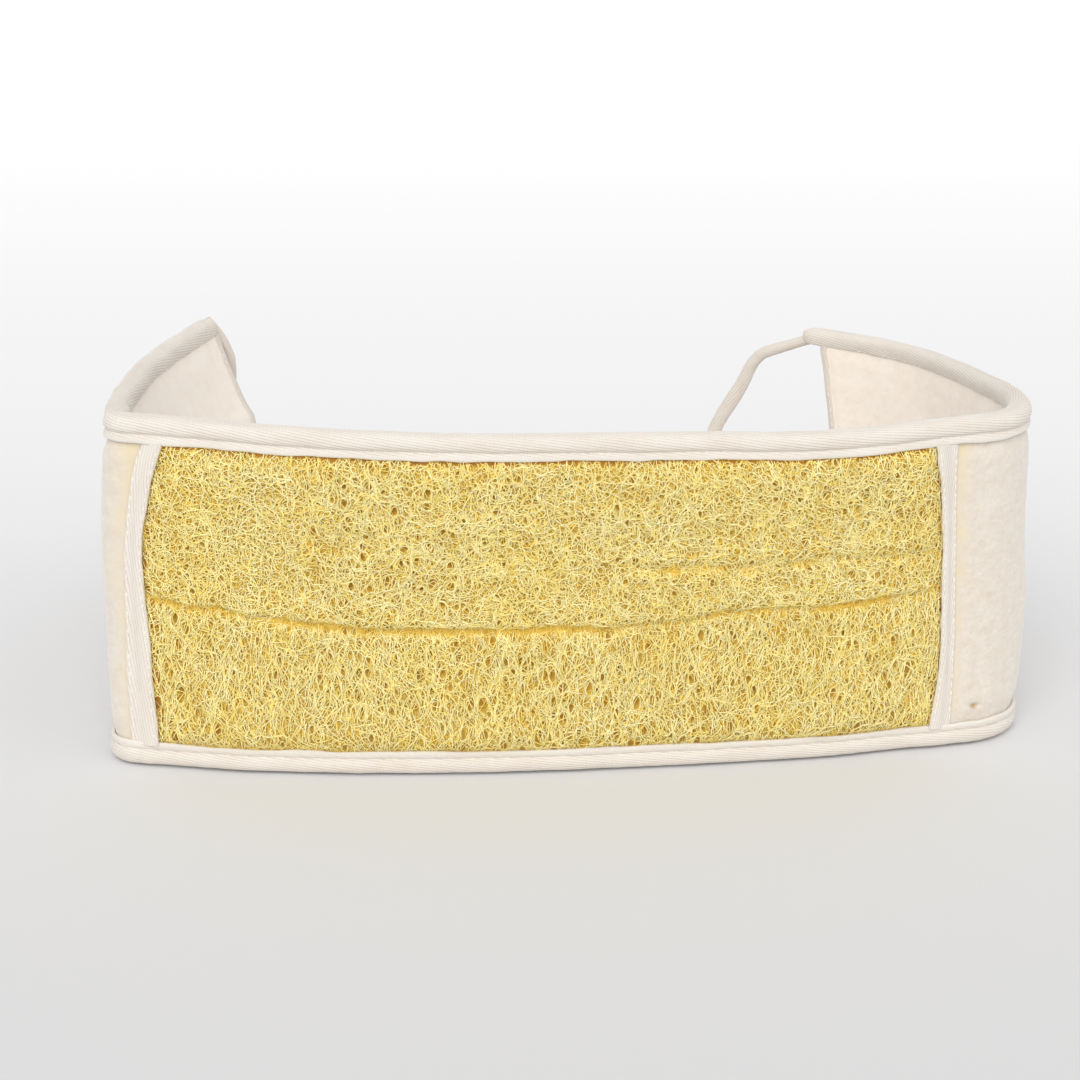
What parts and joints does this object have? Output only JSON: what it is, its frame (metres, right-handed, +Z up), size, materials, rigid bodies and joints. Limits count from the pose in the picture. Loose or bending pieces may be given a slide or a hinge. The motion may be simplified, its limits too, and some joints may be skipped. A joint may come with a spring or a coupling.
{
  "type": "loofah back scrubber",
  "caption": "Padded cotton back-scrubbing band with a flattened loofah face, taped edges, two folding wings and a soft hand loop at each end.",
  "frame": {"origin": "middle of the band's footprint, without the hand loops, on the surface that its lower edge stands on", "axes": "+Z up, along the band's height; the loofah faces -Y and the two wings point back to +Y; +X along the loofah, to the viewer's right"},
  "size_m": [0.3178, 0.246, 0.115],
  "materials": {
    "loofah": "matte",
    "terry": "matte",
    "cotton_lining": "matte",
    "twill_tape": "matte",
    "wadding": "matte",
    "sewing_thread": "matte"
  },
  "bodies": {
    "panel": {"panel_bottom_binding": "twill_tape", "panel_bottom_binding_stitching": "sewing_thread", "panel_cotton_lining": "cotton_lining", "panel_left_end_tape": "twill_tape", "panel_left_end_tape_stitching": "sewing_thread", "panel_loofah_pad": "loofah", "panel_right_end_tape": "twill_tape", "panel_right_end_tape_stitching": "sewing_thread", "panel_terry_face": "terry", "panel_top_binding": "twill_tape", "panel_top_binding_stitching": "sewing_thread", "panel_wadding": "wadding"},
    "left_wing": {"left_wing_bottom_binding": "twill_tape", "left_wing_bottom_binding_stitching": "sewing_thread", "left_wing_cotton_lining": "cotton_lining", "left_wing_end_hem": "twill_tape", "left_wing_end_hem_stitching": "sewing_thread", "left_wing_terry_face": "terry", "left_wing_top_binding": "twill_tape", "left_wing_top_binding_stitching": "sewing_thread", "left_wing_wadding": "wadding"},
    "right_wing": {"right_wing_bottom_binding": "twill_tape", "right_wing_bottom_binding_stitching": "sewing_thread", "right_wing_cotton_lining": "cotton_lining", "right_wing_end_hem": "twill_tape", "right_wing_end_hem_stitching": "sewing_thread", "right_wing_terry_face": "terry", "right_wing_top_binding": "twill_tape", "right_wing_top_binding_stitching": "sewing_thread", "right_wing_wadding": "wadding"},
    "left_handle": {"left_handle_loop": "twill_tape"},
    "right_handle": {"right_handle_loop": "twill_tape"}
  },
  "joints": [
    {"name": "left_wing_fold", "type": "hinge", "parent": "panel", "child": "left_wing", "pos_m": [-0.15637, -0.07592, 0.0575], "axis": [0, 0, -1], "range_deg": [-105, 15]},
    {"name": "right_wing_fold", "type": "hinge", "parent": "panel", "child": "right_wing", "pos_m": [0.15188, -0.065, 0.0575], "axis": [0, 0, 1], "range_deg": [-105, 15]},
    {"name": "left_handle_swing", "type": "hinge", "parent": "left_wing", "child": "left_handle", "pos_m": [-0.1257, 0.0975, 0.0575], "axis": [0, 0, -1], "range_deg": [-60, 60]},
    {"name": "right_handle_swing", "type": "hinge", "parent": "right_wing", "child": "right_handle", "pos_m": [0.11043, 0.07275, 0.0575], "axis": [0, 0, 1], "range_deg": [-60, 60]}
  ]
}
